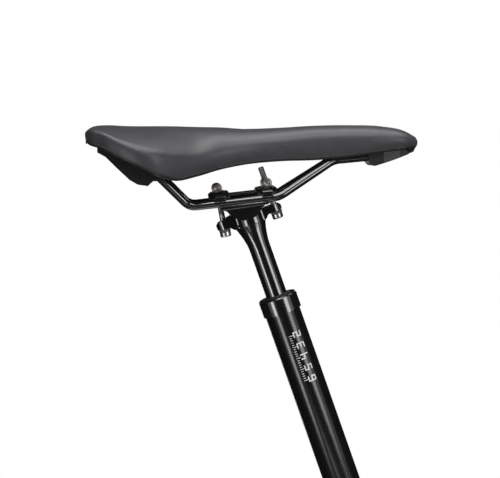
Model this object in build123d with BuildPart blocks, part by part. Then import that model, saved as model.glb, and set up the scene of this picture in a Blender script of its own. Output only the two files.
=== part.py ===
from build123d import *

import os
from math import cos, radians, sin

# A sprung telescoping seatpost with a two-bolt head, and a padded saddle clamped on it.
# +X is forward, +Y is the rider's left and +Z is up. The origin is on the post's axis,
# at the underside of the collar, where the frame's seat tube may come up to.

os.makedirs("parts", exist_ok=True)

# Outer tube and collar
post_lean = 19.4  # degrees between the post's axis and the vertical
tube_diameter = 30.9
tube_wall = 1.95
tube_length = 248.5  # below the collar
neck_diameter = 29.8  # the tube's end inside the collar
neck_length = 9.0
collar_diameter = 34.0
collar_height = 14.0
collar_bevel = 0.9
seal_width = 2.6
seal_lip = 1.6
tube_edge = 0.8

# Inner shaft, its keys and its foot
shaft_diameter = 18.5
shaft_bore = 12.0
shaft_bore_stop = 10.0  # left solid under the arms
sleeve_reach = 80.0
key_width = 3.0
key_depth = 3.0
key_length = 25.0
key_top = 17.0
key_count = 4
foot_diameter = 25.0
foot_thickness = 4.0
foot_spigot_length = 20.0
bumper_height = 4.0

# Spring and preload
spring_wire = 3.4
spring_coil_diameter = 20.0
spring_turns = 18
plug_height = 16.0
plug_socket = 8.0
plug_socket_depth = 9.0
washer_thickness = 1.5
seat_thickness = 5.0
seat_boss_diameter = 15.6
seat_boss_height = 6.0
elastomer_diameter = 13.0
elastomer_length = 80.0

# Head on top of the shaft
clamp_height = 101.5  # centre of the rocker above the collar's underside
rocker_radius = 17.0
rocker_width = 26.0
seat_gap = 0.25
arm_reach = 29.0
arm_width = 15.0
bolt_inset = 5.8  # the bolts, in from the arms' ends
slot_length = 9.4
slot_shift = 1.0  # the slots' middle, in from the bolts
flare_front = 14.0
flare_rear = 16.0
flare_side = 11.5
flare_steps = 4
flare_curve = 2.0  # how late the flare opens, at the front and the sides
flare_rear_curve = 1.7
band_drop = 3.2  # the band's lower edge below the arms
boss_blend = 4.0
boss_corner_reach = 15.0  # the arms' corners with the round boss lie within this
edge_break = 0.5

# Heights on the head, counted down from the rocker's centre
flare_drop = 43.5
arm_drop = 18.5
front_arm_drop = 11.9
rear_arm_drop = 10.0
pivot_drop = 20.0

# Clamp bolts, washers and barrel nuts
bolt_diameter = 5.0
bolt_length = 41.0
bolt_head_diameter = 9.4
bolt_head_height = 5.0
bolt_socket = 4.0
half_washer_radius = 5.0
half_washer_length = 10.0
nut_diameter = 9.0
nut_length = 18.0
nut_spacing = 42.0
nut_height = 12.0  # above the rails' centre line

# Clamp pieces on the rails
rail_diameter = 7.0
rail_spacing = 44.0
rail_pitch = 6.3  # degrees, nose up
rail_rear_run = 45.5  # clamp centre to the rear bend's corner
rail_front_run = 29.2  # clamp centre to the front bend's corner
rear_bend_radius = 12.0
front_bend_radius = 20.0
tail_behind = 72.5  # the rails' ends in the shell, from the clamp's centre
tail_side = 28.0
tail_above = 22.3
knee_ahead = 75.5
knee_side = 10.8
knee_above = 33.3
nose_ahead = 113.0
nose_side = 7.6
nose_above = 36.7
clamp_width = 53.0
cradle_length = 42.0
cradle_top = -2.3
cradle_bottom = -6.0
cradle_keel = 12.0  # half length of the block over the rocker
cradle_keel_depth = 3.6
finger_length = 9.6
finger_set_in = 1.2  # the fingers' middle, in from the barrel nut's
finger_low = 1.2
finger_top = 6.2
beam_inner = 11.0
beam_outer = 29.0
beam_top = 9.4
beam_width = 24.0
web_bottom = 3.9
web_top = 6.7

# Clearances, on the radius
running = 0.05
seated = 0.05
loose = 0.3

# Saddle
cover_thickness = 1.6
wing_draw_in = 2.0  # how far the skirt comes in below the crease, at the wings
waist_draw_in = 3.6
nose_draw_in_share = 0.22  # of the half width, where that is less
skirt_bulge = 0.8
wing_front = -30.0  # where the wings end, ahead of the clamp's centre
shell_thickness = 2.6
shell_rise = 0.6  # the shell's edge above the cover's edge
skin_gap = 0.1
foam_gap = 0.35
lobe_inner = 23.0
lobe_outer = 50.0
nose_block_width = 24.4

# Places worked out from the sizes
lean = radians(post_lean)
pitch = radians(rail_pitch)
tube_radius = tube_diameter / 2
tube_bore_radius = tube_radius - tube_wall
shaft_radius = shaft_diameter / 2
rail_radius = rail_diameter / 2
rail_side = rail_spacing / 2
shaft_straight = clamp_height - flare_drop
arm_bottom = clamp_height - arm_drop
front_arm_top = clamp_height - front_arm_drop
rear_arm_top = clamp_height - rear_arm_drop
pivot_height = clamp_height - pivot_drop
bolt_offset = arm_reach - bolt_inset
nut_radius = nut_diameter / 2
bolt_radius = bolt_diameter / 2
tube_end = -tube_length
shaft_reach = sleeve_reach + bumper_height + loose + seated
post_forward = Vector(cos(lean), 0, sin(lean))
post_up = Vector(-sin(lean), 0, cos(lean))
rail_forward = Vector(cos(pitch), 0, sin(pitch))
rail_up = Vector(-sin(pitch), 0, cos(pitch))
clamp_centre = post_up * clamp_height

# Planes: along the post, its side view, the clamp's side view, and the saddle's side view
post = Plane(origin=(0, 0, 0), x_dir=post_forward, z_dir=post_up)
post_side = Plane(origin=(0, 0, 0), x_dir=post_forward, z_dir=(0, -1, 0))
clamp = Plane(origin=clamp_centre, x_dir=rail_forward, z_dir=rail_up)
clamp_side = Plane(origin=clamp_centre, x_dir=rail_forward, z_dir=(0, -1, 0))
saddle_side = Plane(origin=clamp_centre, x_dir=(1, 0, 0), z_dir=(0, -1, 0))
post_axis = Axis((0, 0, 0), post_up)


def side_face(plane, points):
    """A straight-edged outline on a side plane."""
    with BuildSketch(plane) as outline:
        with BuildLine():
            Polyline(*points, close=True)
        make_face()
    return outline.sketch


def bevelled_bar(plane, points, half_width):
    """A bar across the head, with its outline on a side plane and its end edges broken."""
    with BuildPart() as bar:
        extrude(side_face(plane, points), amount=half_width, both=True)
        chamfer(bar.faces().filter_by(Axis.Y).edges(), edge_break)
    return bar.part


def ring(inner, outer, low, high):
    """Half the section of a ring around the post's axis."""
    return side_face(post_side, [(inner, low), (outer, low), (outer, high), (inner, high)])


def finish(part, name):
    """Name a piece and write it out."""
    part.label = name
    export_step(part, f"parts/{name}.step")


# Outer tube, with a narrower neck that the collar screws onto
with BuildPart() as outer_tube:
    revolve(
        side_face(
            post_side,
            [
                (tube_bore_radius, tube_end),
                (tube_radius - tube_edge, tube_end),
                (tube_radius, tube_end + tube_edge),
                (tube_radius, 0),
                (neck_diameter / 2, 0),
                (neck_diameter / 2, neck_length),
                (tube_bore_radius, neck_length),
            ],
        ),
        axis=post_axis,
    )
finish(outer_tube.part, "outer_tube")

# Collar, a screwed ring that holds the seal and the guide sleeve in the tube
seal_outer = shaft_radius + seal_width
seal_low = neck_length + 1.2
with BuildPart() as collar:
    revolve(
        side_face(
            post_side,
            [
                (neck_diameter / 2 + seated, 0),
                (collar_diameter / 2, 0),
                (collar_diameter / 2, collar_height - collar_bevel),
                (collar_diameter / 2 - collar_bevel, collar_height),
                (seal_outer + seated, collar_height),
                (seal_outer + seated, seal_low),
                (shaft_radius + loose, seal_low),
                (shaft_radius + loose, neck_length + seated),
                (neck_diameter / 2 + seated, neck_length + seated),
            ],
        ),
        axis=post_axis,
    )
finish(collar.part, "collar")

# Wiper seal, pressed in the collar's mouth, with a lip that leans on the shaft
with BuildPart() as wiper_seal:
    revolve(
        side_face(
            post_side,
            [
                (shaft_radius + running, seal_low + seated),
                (seal_outer, seal_low + seated),
                (seal_outer, collar_height),
                (shaft_radius + running + 0.7, collar_height + seal_lip),
                (shaft_radius + running, collar_height + seal_lip),
            ],
        ),
        axis=post_axis,
    )
finish(wiper_seal.part, "wiper_seal")


def key_blocks(width, inner, outer, low, high):
    """Blocks around the shaft's axis, one for each key."""
    with BuildPart() as blocks:
        with BuildSketch(post.offset(low)):
            with PolarLocations((inner + outer) / 2, key_count):
                Rectangle(outer - inner, width)
        extrude(amount=high - low)
    return blocks.part


key_inner = shaft_radius - key_depth / 2
key_outer = shaft_radius + key_depth / 2
key_low = -key_top - key_length

# Guide sleeve inside the tube, with a groove for each key
with BuildPart() as guide_sleeve:
    revolve(
        ring(shaft_radius + running, tube_bore_radius - seated, -sleeve_reach, neck_length),
        axis=post_axis,
    )
    add(
        key_blocks(
            key_width + 2 * running,
            shaft_radius - 1,
            key_outer + running,
            -sleeve_reach,
            -key_top + loose,
        ),
        mode=Mode.SUBTRACT,
    )
finish(guide_sleeve.part, "guide_sleeve")

# Keys that stop the shaft from turning
with BuildPart() as shaft_keys:
    add(key_blocks(key_width, key_inner, key_outer, key_low, -key_top))
finish(shaft_keys.part, "shaft_keys")


def flare_section(share):
    """Oval section of the flare, at a share of the way from the shaft up to the head."""
    front = shaft_radius + (flare_front - shaft_radius) * share**flare_curve
    rear = shaft_radius + (flare_rear - shaft_radius) * share**flare_rear_curve
    side = shaft_radius + (flare_side - shaft_radius) * share**flare_curve
    with BuildSketch(post.offset(shaft_straight + share * (arm_bottom - shaft_straight))) as oval:
        with Locations(((front - rear) / 2, 0)):
            Ellipse((front + rear) / 2, side)
    return oval.sketch


# Inner shaft, forged in one piece with the head that carries the clamp
with BuildPart() as inner_shaft:
    # Arms and band, seen from the side and then from above
    extrude(
        side_face(
            post_side,
            [
                (-arm_reach, arm_bottom + 1.6),
                (-arm_reach + 1.4, arm_bottom),
                (-flare_rear - 2.5, arm_bottom),
                (-flare_rear + 1.0, arm_bottom - band_drop),
                (flare_front - 1.0, arm_bottom - band_drop),
                (flare_front + 2.0, arm_bottom),
                (arm_reach - 1.4, arm_bottom),
                (arm_reach, arm_bottom + 1.6),
                (arm_reach, front_arm_top - 2.4),
                (arm_reach - 2.0, front_arm_top - 0.4),
                (rocker_radius - 2.4, front_arm_top),
                (-rocker_radius + 2.4, rear_arm_top + 1.0),
                (-bolt_offset + 4.0, rear_arm_top),
                (-arm_reach + 2.0, rear_arm_top - 1.6),
                (-arm_reach, rear_arm_top - 3.6),
            ],
        ),
        amount=rocker_width / 2,
        both=True,
    )
    with BuildSketch(post.offset(arm_bottom - 2 * band_drop)) as plan:
        SlotOverall(2 * arm_reach, arm_width)
        Circle(rocker_width / 2)
        inner_corners = plan.vertices().filter_by(lambda corner: abs(corner.X) < boss_corner_reach)
        fillet(inner_corners, boss_blend)
    extrude(amount=arm_drop, mode=Mode.INTERSECT)
    # Flare and shaft
    loft([flare_section(step / flare_steps) for step in range(flare_steps + 1)])
    revolve(
        side_face(
            post_side,
            [
                (0, -shaft_reach),
                (shaft_radius, -shaft_reach),
                (shaft_radius, shaft_straight),
                (0, shaft_straight),
            ],
        ),
        axis=post_axis,
    )
    # Seat of the rocker, a round trough across the head
    with BuildSketch(post_side):
        with Locations((0, clamp_height)):
            Circle(rocker_radius)
    extrude(amount=rocker_width, both=True, mode=Mode.SUBTRACT)
    # Bolt slots, long along the arms so that the bolts can lean
    with BuildSketch(post.offset(arm_bottom - 1)):
        for end in (-1, 1):
            with Locations((end * (bolt_offset - slot_shift), 0)):
                SlotOverall(slot_length, bolt_diameter + 1.0)
    extrude(amount=rear_arm_top - arm_bottom + 4, mode=Mode.SUBTRACT)
    # Round recesses under the arms, where the half-round washers turn
    with BuildSketch(post_side):
        for end in (-1, 1):
            with Locations((end * bolt_offset, pivot_height)):
                Circle(half_washer_radius + running)
    extrude(amount=half_washer_length / 2 + loose, both=True, mode=Mode.SUBTRACT)
    # Bore from below, and the slots that hold the keys
    with BuildSketch(post.offset(-shaft_reach)):
        Circle(shaft_bore / 2)
    extrude(amount=shaft_reach + arm_bottom - shaft_bore_stop, mode=Mode.SUBTRACT)
    add(
        key_blocks(
            key_width + 2 * seated,
            key_inner - seated,
            shaft_radius + 2,
            key_low - seated,
            -key_top + seated,
        ),
        mode=Mode.SUBTRACT,
    )
finish(inner_shaft.part, "inner_shaft")

# Foot, screwed in the shaft's end: it stops the shaft from coming out
with BuildPart() as shaft_foot:
    revolve(
        side_face(
            post_side,
            [
                (0, -shaft_reach - foot_thickness),
                (foot_diameter / 2, -shaft_reach - foot_thickness),
                (foot_diameter / 2, -shaft_reach),
                (shaft_bore / 2 - seated, -shaft_reach),
                (shaft_bore / 2 - seated, -shaft_reach + foot_spigot_length),
                (0, -shaft_reach + foot_spigot_length),
            ],
        ),
        axis=post_axis,
    )
finish(shaft_foot.part, "shaft_foot")

# Rubber ring between the foot and the sleeve, which softens the top of the travel
with BuildPart() as topout_bumper:
    revolve(
        ring(
            shaft_radius + seated,
            foot_diameter / 2 - 0.5,
            -shaft_reach + seated,
            -sleeve_reach - loose,
        ),
        axis=post_axis,
    )
finish(topout_bumper.part, "topout_bumper")


# Preload plug, screwed in the tube's lower end, with a hexagon socket
plug_radius = tube_bore_radius - running
plug_top = tube_end + plug_height
with BuildPart() as preload_plug:
    revolve(
        side_face(
            post_side,
            [
                (0, tube_end),
                (plug_radius - 1.0, tube_end),
                (plug_radius, tube_end + 1.0),
                (plug_radius, plug_top),
                (0, plug_top),
            ],
        ),
        axis=post_axis,
    )
    with BuildSketch(post.offset(tube_end)):
        RegularPolygon(plug_socket / 2, 6, major_radius=False)
    extrude(amount=plug_socket_depth, mode=Mode.SUBTRACT)
finish(preload_plug.part, "preload_plug")

# Thrust washer between the plug, which turns, and the spring's lower seat, which doesn't
washer_top = plug_top + running + washer_thickness
with BuildPart() as thrust_washer:
    revolve(
        ring(4.0, tube_bore_radius - loose, plug_top + running, washer_top),
        axis=post_axis,
    )
finish(thrust_washer.part, "thrust_washer")

# Lower seat of the spring, with a boss that keeps the spring in the middle
seat_low = washer_top + seated
seat_top = seat_low + seat_thickness
with BuildPart() as lower_spring_seat:
    revolve(
        side_face(
            post_side,
            [
                (0, seat_low),
                (tube_bore_radius - loose, seat_low),
                (tube_bore_radius - loose, seat_top),
                (seat_boss_diameter / 2, seat_top),
                (seat_boss_diameter / 2, seat_top + seat_boss_height),
                (0, seat_top + seat_boss_height),
            ],
        ),
        axis=post_axis,
    )
finish(lower_spring_seat.part, "lower_spring_seat")

# Elastomer rod inside the spring, which softens the bottom of the travel
with BuildPart() as elastomer_rod:
    with BuildSketch(post.offset(seat_top + seat_boss_height + seated)):
        Circle(elastomer_diameter / 2)
    extrude(amount=elastomer_length)
    chamfer(elastomer_rod.edges().sort_by(post_axis)[-1], 1.5)
finish(elastomer_rod.part, "elastomer_rod")

# Main spring between the shaft's foot and the lower seat
spring_low = seat_top + spring_wire / 2 + skin_gap
spring_high = -shaft_reach - foot_thickness - spring_wire / 2 - skin_gap
with BuildPart() as main_spring:
    with BuildLine() as coil:
        Helix(
            pitch=(spring_high - spring_low) / spring_turns,
            height=spring_high - spring_low,
            radius=spring_coil_diameter / 2,
            center=post_up * spring_low,
            direction=post_up,
        )
    with BuildSketch(Plane(origin=coil.line @ 0, z_dir=coil.line % 0)):
        Circle(spring_wire / 2)
    sweep(path=coil.line, is_frenet=True)
finish(main_spring.part, "main_spring")


# Clamp bolts, from the half-round washers under the arms up to the barrel nuts
for name, end in (("rear", -1), ("front", 1)):
    pivot = post.from_local_coords(Vector(end * bolt_offset, 0, pivot_height))
    nut_centre = clamp.from_local_coords(Vector(end * nut_spacing / 2, 0, nut_height))
    along = (nut_centre - pivot).normalized()
    square = Plane(origin=pivot, x_dir=(0, 1, 0), z_dir=along)
    edge_on = Plane(origin=pivot, x_dir=along, z_dir=(0, 1, 0))

    with BuildPart() as washer:
        with BuildSketch(edge_on):
            Circle(half_washer_radius)
            with Locations((-half_washer_radius, 0)):
                Rectangle(2 * half_washer_radius, 4 * half_washer_radius, mode=Mode.SUBTRACT)
        extrude(amount=half_washer_length / 2, both=True)
        with BuildSketch(square):
            Circle(bolt_radius + running)
        extrude(amount=half_washer_radius + 1, mode=Mode.SUBTRACT)
    finish(washer.part, f"{name}_bolt_washer")

    with BuildPart() as bolt:
        with BuildSketch(square.offset(-bolt_head_height)):
            Circle(bolt_head_diameter / 2)
        extrude(amount=bolt_head_height - running)
        chamfer(bolt.edges().filter_by(GeomType.CIRCLE).sort_by(Axis(pivot, along))[0], 0.5)
        with BuildSketch(square.offset(-running)):
            Circle(bolt_radius)
        extrude(amount=bolt_length + running)
        chamfer(bolt.edges().filter_by(GeomType.CIRCLE).sort_by(Axis(pivot, along))[-1], 0.6)
        with BuildSketch(square.offset(-bolt_head_height)):
            RegularPolygon(bolt_socket / 2, 6, major_radius=False)
        extrude(amount=bolt_head_height * 0.6, mode=Mode.SUBTRACT)
    finish(bolt.part, f"{name}_bolt")

    with BuildPart() as nut:
        with BuildSketch(Plane(origin=nut_centre, x_dir=along, z_dir=(0, 1, 0))):
            Circle(nut_radius)
        extrude(amount=nut_length / 2, both=True)
        chamfer(nut.edges().filter_by(GeomType.CIRCLE), 0.6)
        with BuildSketch(Plane(origin=nut_centre, x_dir=(0, 1, 0), z_dir=along)):
            Circle(bolt_radius + 2 * running)
        extrude(amount=nut_radius + 1, both=True, mode=Mode.SUBTRACT)
    finish(nut.part, f"{name}_barrel_nut")


def rail_grooves():
    """Two long rods, a sliding fit larger than the rails, along the clamp."""
    with BuildPart() as rods:
        with BuildSketch(Plane(clamp_centre, x_dir=(0, 1, 0), z_dir=rail_forward)):
            with Locations((-rail_side, 0), (rail_side, 0)):
                Circle(rail_radius + running)
        extrude(amount=2 * beam_outer, both=True)
    return rods.part


# Lower cradle: two troughs under the rails, and the rocker that turns in the head
half = cradle_length / 2
with BuildPart() as lower_cradle:
    add(
        bevelled_bar(
            clamp_side,
            [
                (-half, cradle_top),
                (half, cradle_top),
                (half, cradle_top - 1.6),
                (half - 2.0, cradle_bottom + 1.0),
                (-half + 2.0, cradle_bottom),
                (-half, cradle_top - 1.8),
            ],
            clamp_width / 2 - 0.5,
        )
    )
    add(
        bevelled_bar(
            clamp_side,
            [
                (-half + 1.0, cradle_top),
                (half - 1.0, cradle_top),
                (half - 2.0, cradle_bottom + 1.0),
                (cradle_keel, cradle_bottom - cradle_keel_depth),
                (-cradle_keel, cradle_bottom - cradle_keel_depth),
                (-half + 2.0, cradle_bottom),
            ],
            rocker_width / 2,
        )
    )
    with BuildSketch(clamp_side):
        Circle(rocker_radius - seat_gap)
        with Locations((0, rocker_radius + cradle_top)):
            Rectangle(2 * rocker_radius, 2 * rocker_radius, mode=Mode.SUBTRACT)
    extrude(amount=rocker_width / 2, both=True)
    add(rail_grooves(), mode=Mode.SUBTRACT)
    # Notches at both ends, where the bolts pass
    with BuildSketch(clamp.offset(-rocker_radius)):
        for end in (-1, 1):
            with Locations((end * (half + 5.0), 0)):
                SlotOverall(19.4, bolt_diameter + 1.2)
    extrude(amount=2 * rocker_radius, mode=Mode.SUBTRACT)
finish(lower_cradle.part, "lower_cradle")

# Upper clamp: a beam under each barrel nut, a web between them, and four fingers on the rails
with BuildPart() as upper_clamp:
    for end in (-1, 1):
        add(
            bevelled_bar(
                clamp_side,
                [
                    (end * beam_inner, finger_low + 0.8),
                    (end * beam_outer, finger_low + 0.8),
                    (end * beam_outer, beam_top - 2.2),
                    (end * (beam_outer - 1.8), beam_top - 0.6),
                    (end * (beam_outer - 5.0), beam_top),
                    (end * (beam_inner + 5.0), beam_top),
                    (end * (beam_inner + 1.0), beam_top - 0.6),
                    (end * beam_inner, beam_top - 2.2),
                ],
                beam_width / 2,
            )
        )
        finger_inner = end * (nut_spacing / 2 - finger_set_in - finger_length / 2)
        finger_outer = end * (nut_spacing / 2 - finger_set_in + finger_length / 2)
        add(
            bevelled_bar(
                clamp_side,
                [
                    (finger_inner, finger_low),
                    (finger_outer, finger_low),
                    (finger_outer, finger_top - 1.0),
                    (finger_outer - end * 1.0, finger_top),
                    (finger_inner + end * 1.0, finger_top),
                    (finger_inner, finger_top - 1.0),
                ],
                clamp_width / 2,
            )
        )
    add(
        bevelled_bar(
            clamp_side,
            [
                (-beam_inner - 1, web_bottom),
                (beam_inner + 1, web_bottom),
                (beam_inner + 1, web_top),
                (-beam_inner - 1, web_top),
            ],
            beam_width / 2 - 1.0,
        )
    )
    add(rail_grooves(), mode=Mode.SUBTRACT)
    # Round seats for the barrel nuts, and slots for the bolts below them
    with BuildSketch(clamp_side):
        with Locations((-nut_spacing / 2, nut_height), (nut_spacing / 2, nut_height)):
            Circle(nut_radius + running)
    extrude(amount=clamp_width, both=True, mode=Mode.SUBTRACT)
    with BuildSketch(clamp):
        for end in (-1, 1):
            with Locations((end * (nut_spacing / 2 + 0.8), 0)):
                SlotOverall(9.2, bolt_diameter + 1.0)
    extrude(amount=nut_height, mode=Mode.SUBTRACT)
finish(upper_clamp.part, "upper_clamp")

# Rails: bent rods from the saddle's rear sockets, through the clamp, to the nose socket
rail_tail = Vector(-tail_behind, tail_side, tail_above)
rail_knee = Vector(knee_ahead, knee_side, knee_above)
rail_nose = Vector(nose_ahead, nose_side, nose_above)


def rail_route(side):
    """The rail's corners, from its tail to its nose."""
    mirror_side = Vector(1, side, 1)
    corners = [
        rail_tail,
        rail_forward * -rail_rear_run + Vector(0, rail_side, 0),
        rail_forward * rail_front_run + Vector(0, rail_side, 0),
        rail_knee,
        rail_nose,
    ]
    return [
        clamp_centre + Vector(p.X * mirror_side.X, p.Y * mirror_side.Y, p.Z) for p in corners
    ]


def rail_rod(side, radius):
    """A round rod along one rail's route."""
    with BuildPart() as rod:
        with BuildLine() as route:
            FilletPolyline(
                *rail_route(side),
                radius=[rear_bend_radius, front_bend_radius, front_bend_radius],
            )
        with BuildSketch(Plane(origin=route.line @ 0, z_dir=route.line % 0)):
            Circle(radius)
        sweep(path=route.line)
    return rod.part


for name, side in (("left", 1), ("right", -1)):
    finish(rail_rod(side, rail_radius), f"{name}_rail")

# Saddle sections from tail to nose, ahead of and above the clamp's centre:
# station, half width, top, crease, edge, and the top of the shell's arch
saddle_sections = [
    (-131.0, 24.0, 57.0, 54.8, 50.0, 52.4),
    (-126.0, 46.0, 60.6, 57.0, 47.0, 50.0),
    (-115.0, 62.0, 62.4, 56.0, 43.4, 49.0),
    (-100.0, 70.5, 61.9, 49.5, 36.3, 47.5),
    (-85.0, 73.5, 61.6, 43.6, 29.5, 46.0),
    (-70.0, 70.5, 61.6, 40.0, 22.2, 45.0),
    (-56.0, 61.0, 61.4, 37.6, 18.0, 44.5),
    (-40.0, 48.5, 60.9, 36.5, 20.8, 44.5),
    (-20.0, 36.0, 60.6, 39.5, 26.3, 45.5),
    (0.0, 28.5, 59.4, 44.5, 30.2, 47.0),
    (30.0, 23.0, 60.3, 48.5, 33.0, 49.5),
    (60.0, 20.5, 62.2, 51.5, 33.9, 51.5),
    (90.0, 19.5, 62.8, 52.5, 36.5, 52.0),
    (118.0, 18.0, 61.8, 52.0, 40.5, 52.0),
    (137.0, 14.5, 58.0, 51.0, 43.3, 50.0),
    (146.5, 8.5, 52.8, 50.6, 45.0, 48.6),
]
shoulder = 0.62  # shares of the half width where the crown bends
mid_shoulder = 0.83
wing_crown = (0.36, 0.64)  # how far the crown has come down there, as shares of its height
waist_crown = (0.22, 0.48)


def inset_sections(inset):
    """The sections of a piece that lies inside the cover, drawn in at the tail and the nose."""
    rows = [list(row) for row in saddle_sections]
    rows[0][0] += inset
    rows[-1][0] -= inset
    return rows


def station(ahead):
    """The plane across the saddle at one station."""
    return Plane(clamp_centre + Vector(ahead, 0, 0), x_dir=(0, 1, 0), z_dir=(1, 0, 0))


def draw_in(ahead, half_width):
    """How far the skirt comes in below the crease at one station."""
    if ahead < wing_front:
        return wing_draw_in
    return min(waist_draw_in, nose_draw_in_share * half_width)


def crown(ahead, half_width, top, crease, edge, inset):
    """The saddle's outline over the top, from one lower edge to the other."""
    half = half_width - inset
    peak = top - inset
    fold = crease - inset / 2
    drop = peak - fold
    shoulder_share, bulge_share = wing_crown if ahead < wing_front else waist_crown
    flat = peak - shoulder_share * drop
    bulge = peak - bulge_share * drop
    low_half = half - draw_in(ahead, half_width)
    side_half = (half + low_half) / 2 + skirt_bulge
    middle = (edge + fold) / 2
    ThreePointArc((low_half, edge), (side_half, middle), (half, fold))
    ThreePointArc((half, fold), (mid_shoulder * half, bulge), (shoulder * half, flat))
    ThreePointArc((shoulder * half, flat), (0, peak), (-shoulder * half, flat))
    ThreePointArc((-shoulder * half, flat), (-mid_shoulder * half, bulge), (-half, fold))
    ThreePointArc((-half, fold), (-side_half, middle), (-low_half, edge))
    return low_half


def pad_sections(inset, low_edge):
    """Closed sections under the cover's outline, straight across at the bottom."""
    faces = []
    for ahead, half_width, top, crease, edge, arch in inset_sections(inset):
        with BuildSketch(station(ahead)) as section:
            with BuildLine():
                low_half = crown(ahead, half_width, top, crease, edge, inset)
                low = edge + low_edge
                Polyline((-low_half, edge), (-low_half, low), (low_half, low), (low_half, edge))
            make_face()
        faces.append(section.sketch)
    return faces


def arched_sections(inset, low_end, low_middle, high_end, high_middle):
    """Closed sections between two arches: ends above the cover's edge, middles from the shell's top."""
    faces = []
    for ahead, half_width, top, crease, edge, arch in inset_sections(inset):
        half = half_width - inset - draw_in(ahead, half_width)
        with BuildSketch(station(ahead)) as section:
            with BuildLine():
                ThreePointArc(
                    (-half, edge + low_end), (0, arch + low_middle), (half, edge + low_end)
                )
                Line((half, edge + low_end), (half, edge + high_end))
                ThreePointArc(
                    (half, edge + high_end), (0, arch + high_middle), (-half, edge + high_end)
                )
                Line((-half, edge + high_end), (-half, edge + low_end))
            make_face()
        faces.append(section.sketch)
    return faces


shell_inset = cover_thickness + skin_gap
shell_edge = shell_rise + shell_thickness * 0.85

# Cover: the thin outer skin, open below
with BuildPart() as saddle_cover:
    loft(pad_sections(0, -0.4))
    loft(pad_sections(cover_thickness, -4.0), mode=Mode.SUBTRACT)
finish(saddle_cover.part, "saddle_cover")

# Foam pad, between the shell and the cover
with BuildPart() as saddle_foam:
    faces = []
    for ahead, half_width, top, crease, edge, arch in inset_sections(shell_inset):
        with BuildSketch(station(ahead)) as section:
            with BuildLine():
                low = edge + shell_edge + foam_gap
                low_half = crown(ahead, half_width, top, crease, low, shell_inset)
                ThreePointArc((-low_half, low), (0, arch + foam_gap), (low_half, low))
            make_face()
        faces.append(section.sketch)
    loft(faces)
finish(saddle_foam.part, "saddle_foam")

# Shell: a moulded arch, with a lobe for each rail's tail and a block for both noses
lobe_outline = [
    (-118.0, 60.0),
    (-118.0, 40.0),
    (-111.5, 36.4),
    (-103.6, 28.5),
    (-92.6, 18.1),
    (-86.2, 14.4),
    (-78.2, 13.2),
    (-74.2, 17.1),
    (-66.0, 17.1),
    (-63.0, 21.0),
    (-60.0, 60.0),
]
nose_outline = [
    (104.5, 60.0),
    (104.8, 33.4),
    (105.6, 31.1),
    (108.2, 28.8),
    (110.8, 28.5),
    (124.4, 32.7),
    (139.7, 38.2),
    (142.0, 40.0),
    (143.0, 46.0),
    (143.0, 60.0),
]
nose_plan = [
    (104.0, nose_block_width / 2),
    (118.0, nose_block_width / 2),
    (132.0, 9.8),
    (143.0, 5.0),
]
with BuildPart() as saddle_shell:
    extrude(side_face(saddle_side, nose_outline), amount=nose_block_width / 2, both=True)
    with BuildSketch(Plane(clamp_centre)):
        with BuildLine():
            Polyline(*nose_plan, *[(x, -y) for x, y in reversed(nose_plan)], close=True)
        make_face()
    extrude(amount=80, mode=Mode.INTERSECT)
    for side in (-1, 1):
        extrude(
            side_face(saddle_side.offset(side * lobe_inner), lobe_outline),
            amount=side * (lobe_outer - lobe_inner),
        )
    # The blocks end inside the arch's thickness
    loft(
        arched_sections(shell_inset, shell_edge / 2, -shell_thickness / 2, 60, 60),
        mode=Mode.SUBTRACT,
    )
    loft(arched_sections(shell_inset, shell_rise, -shell_thickness, shell_edge, 0))
    for side in (-1, 1):
        add(rail_rod(side, rail_radius + seated), mode=Mode.SUBTRACT)
finish(saddle_shell.part, "saddle_shell")
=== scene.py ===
from math import cos, pi, radians, sin, tau

import bmesh
import bpy
import numpy as np
from mathutils import Matrix, Vector


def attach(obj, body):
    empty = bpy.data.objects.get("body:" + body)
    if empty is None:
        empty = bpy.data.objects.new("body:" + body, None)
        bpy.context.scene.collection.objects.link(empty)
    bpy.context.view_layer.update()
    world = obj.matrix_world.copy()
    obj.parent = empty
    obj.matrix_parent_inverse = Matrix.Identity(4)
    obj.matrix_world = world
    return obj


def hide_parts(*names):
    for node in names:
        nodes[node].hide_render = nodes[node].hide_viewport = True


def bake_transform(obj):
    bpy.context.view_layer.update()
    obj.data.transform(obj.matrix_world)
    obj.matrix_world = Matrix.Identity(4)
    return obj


# The looks of a sprung telescoping seatpost and its saddle, in metres in the frame's own place
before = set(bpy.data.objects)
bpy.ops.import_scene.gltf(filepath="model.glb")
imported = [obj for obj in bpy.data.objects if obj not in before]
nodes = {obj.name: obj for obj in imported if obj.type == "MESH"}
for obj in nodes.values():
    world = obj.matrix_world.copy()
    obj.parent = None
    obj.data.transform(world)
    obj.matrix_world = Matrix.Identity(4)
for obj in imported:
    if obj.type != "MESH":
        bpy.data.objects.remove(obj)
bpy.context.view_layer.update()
MM = 0.001


def mm(*values):
    """A point given in millimetres, in metres."""
    return Vector(values) * MM


def direction(azimuth, height_angle):
    """A unit vector by two angles in degrees. Azimuth 0 points to the side that the photo shows."""
    azimuth = radians(azimuth)
    height_angle = radians(height_angle)
    return Vector((
        sin(azimuth) * cos(height_angle),
        -cos(azimuth) * cos(height_angle),
        sin(height_angle),
    ))


def clamped(share):
    return min(1, max(0, share))


def grid_faces(rows, columns, round_rows=False, round_columns=False):
    """Faces between rows of points, closed round on themselves where that is asked for."""
    faces = []
    for i in range(rows if round_rows else rows - 1):
        here = i * columns
        there = (i + 1) % rows * columns
        for j in range(columns if round_columns else columns - 1):
            k = (j + 1) % columns
            faces.append((here + j, here + k, there + k, there + j))
    return faces


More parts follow.
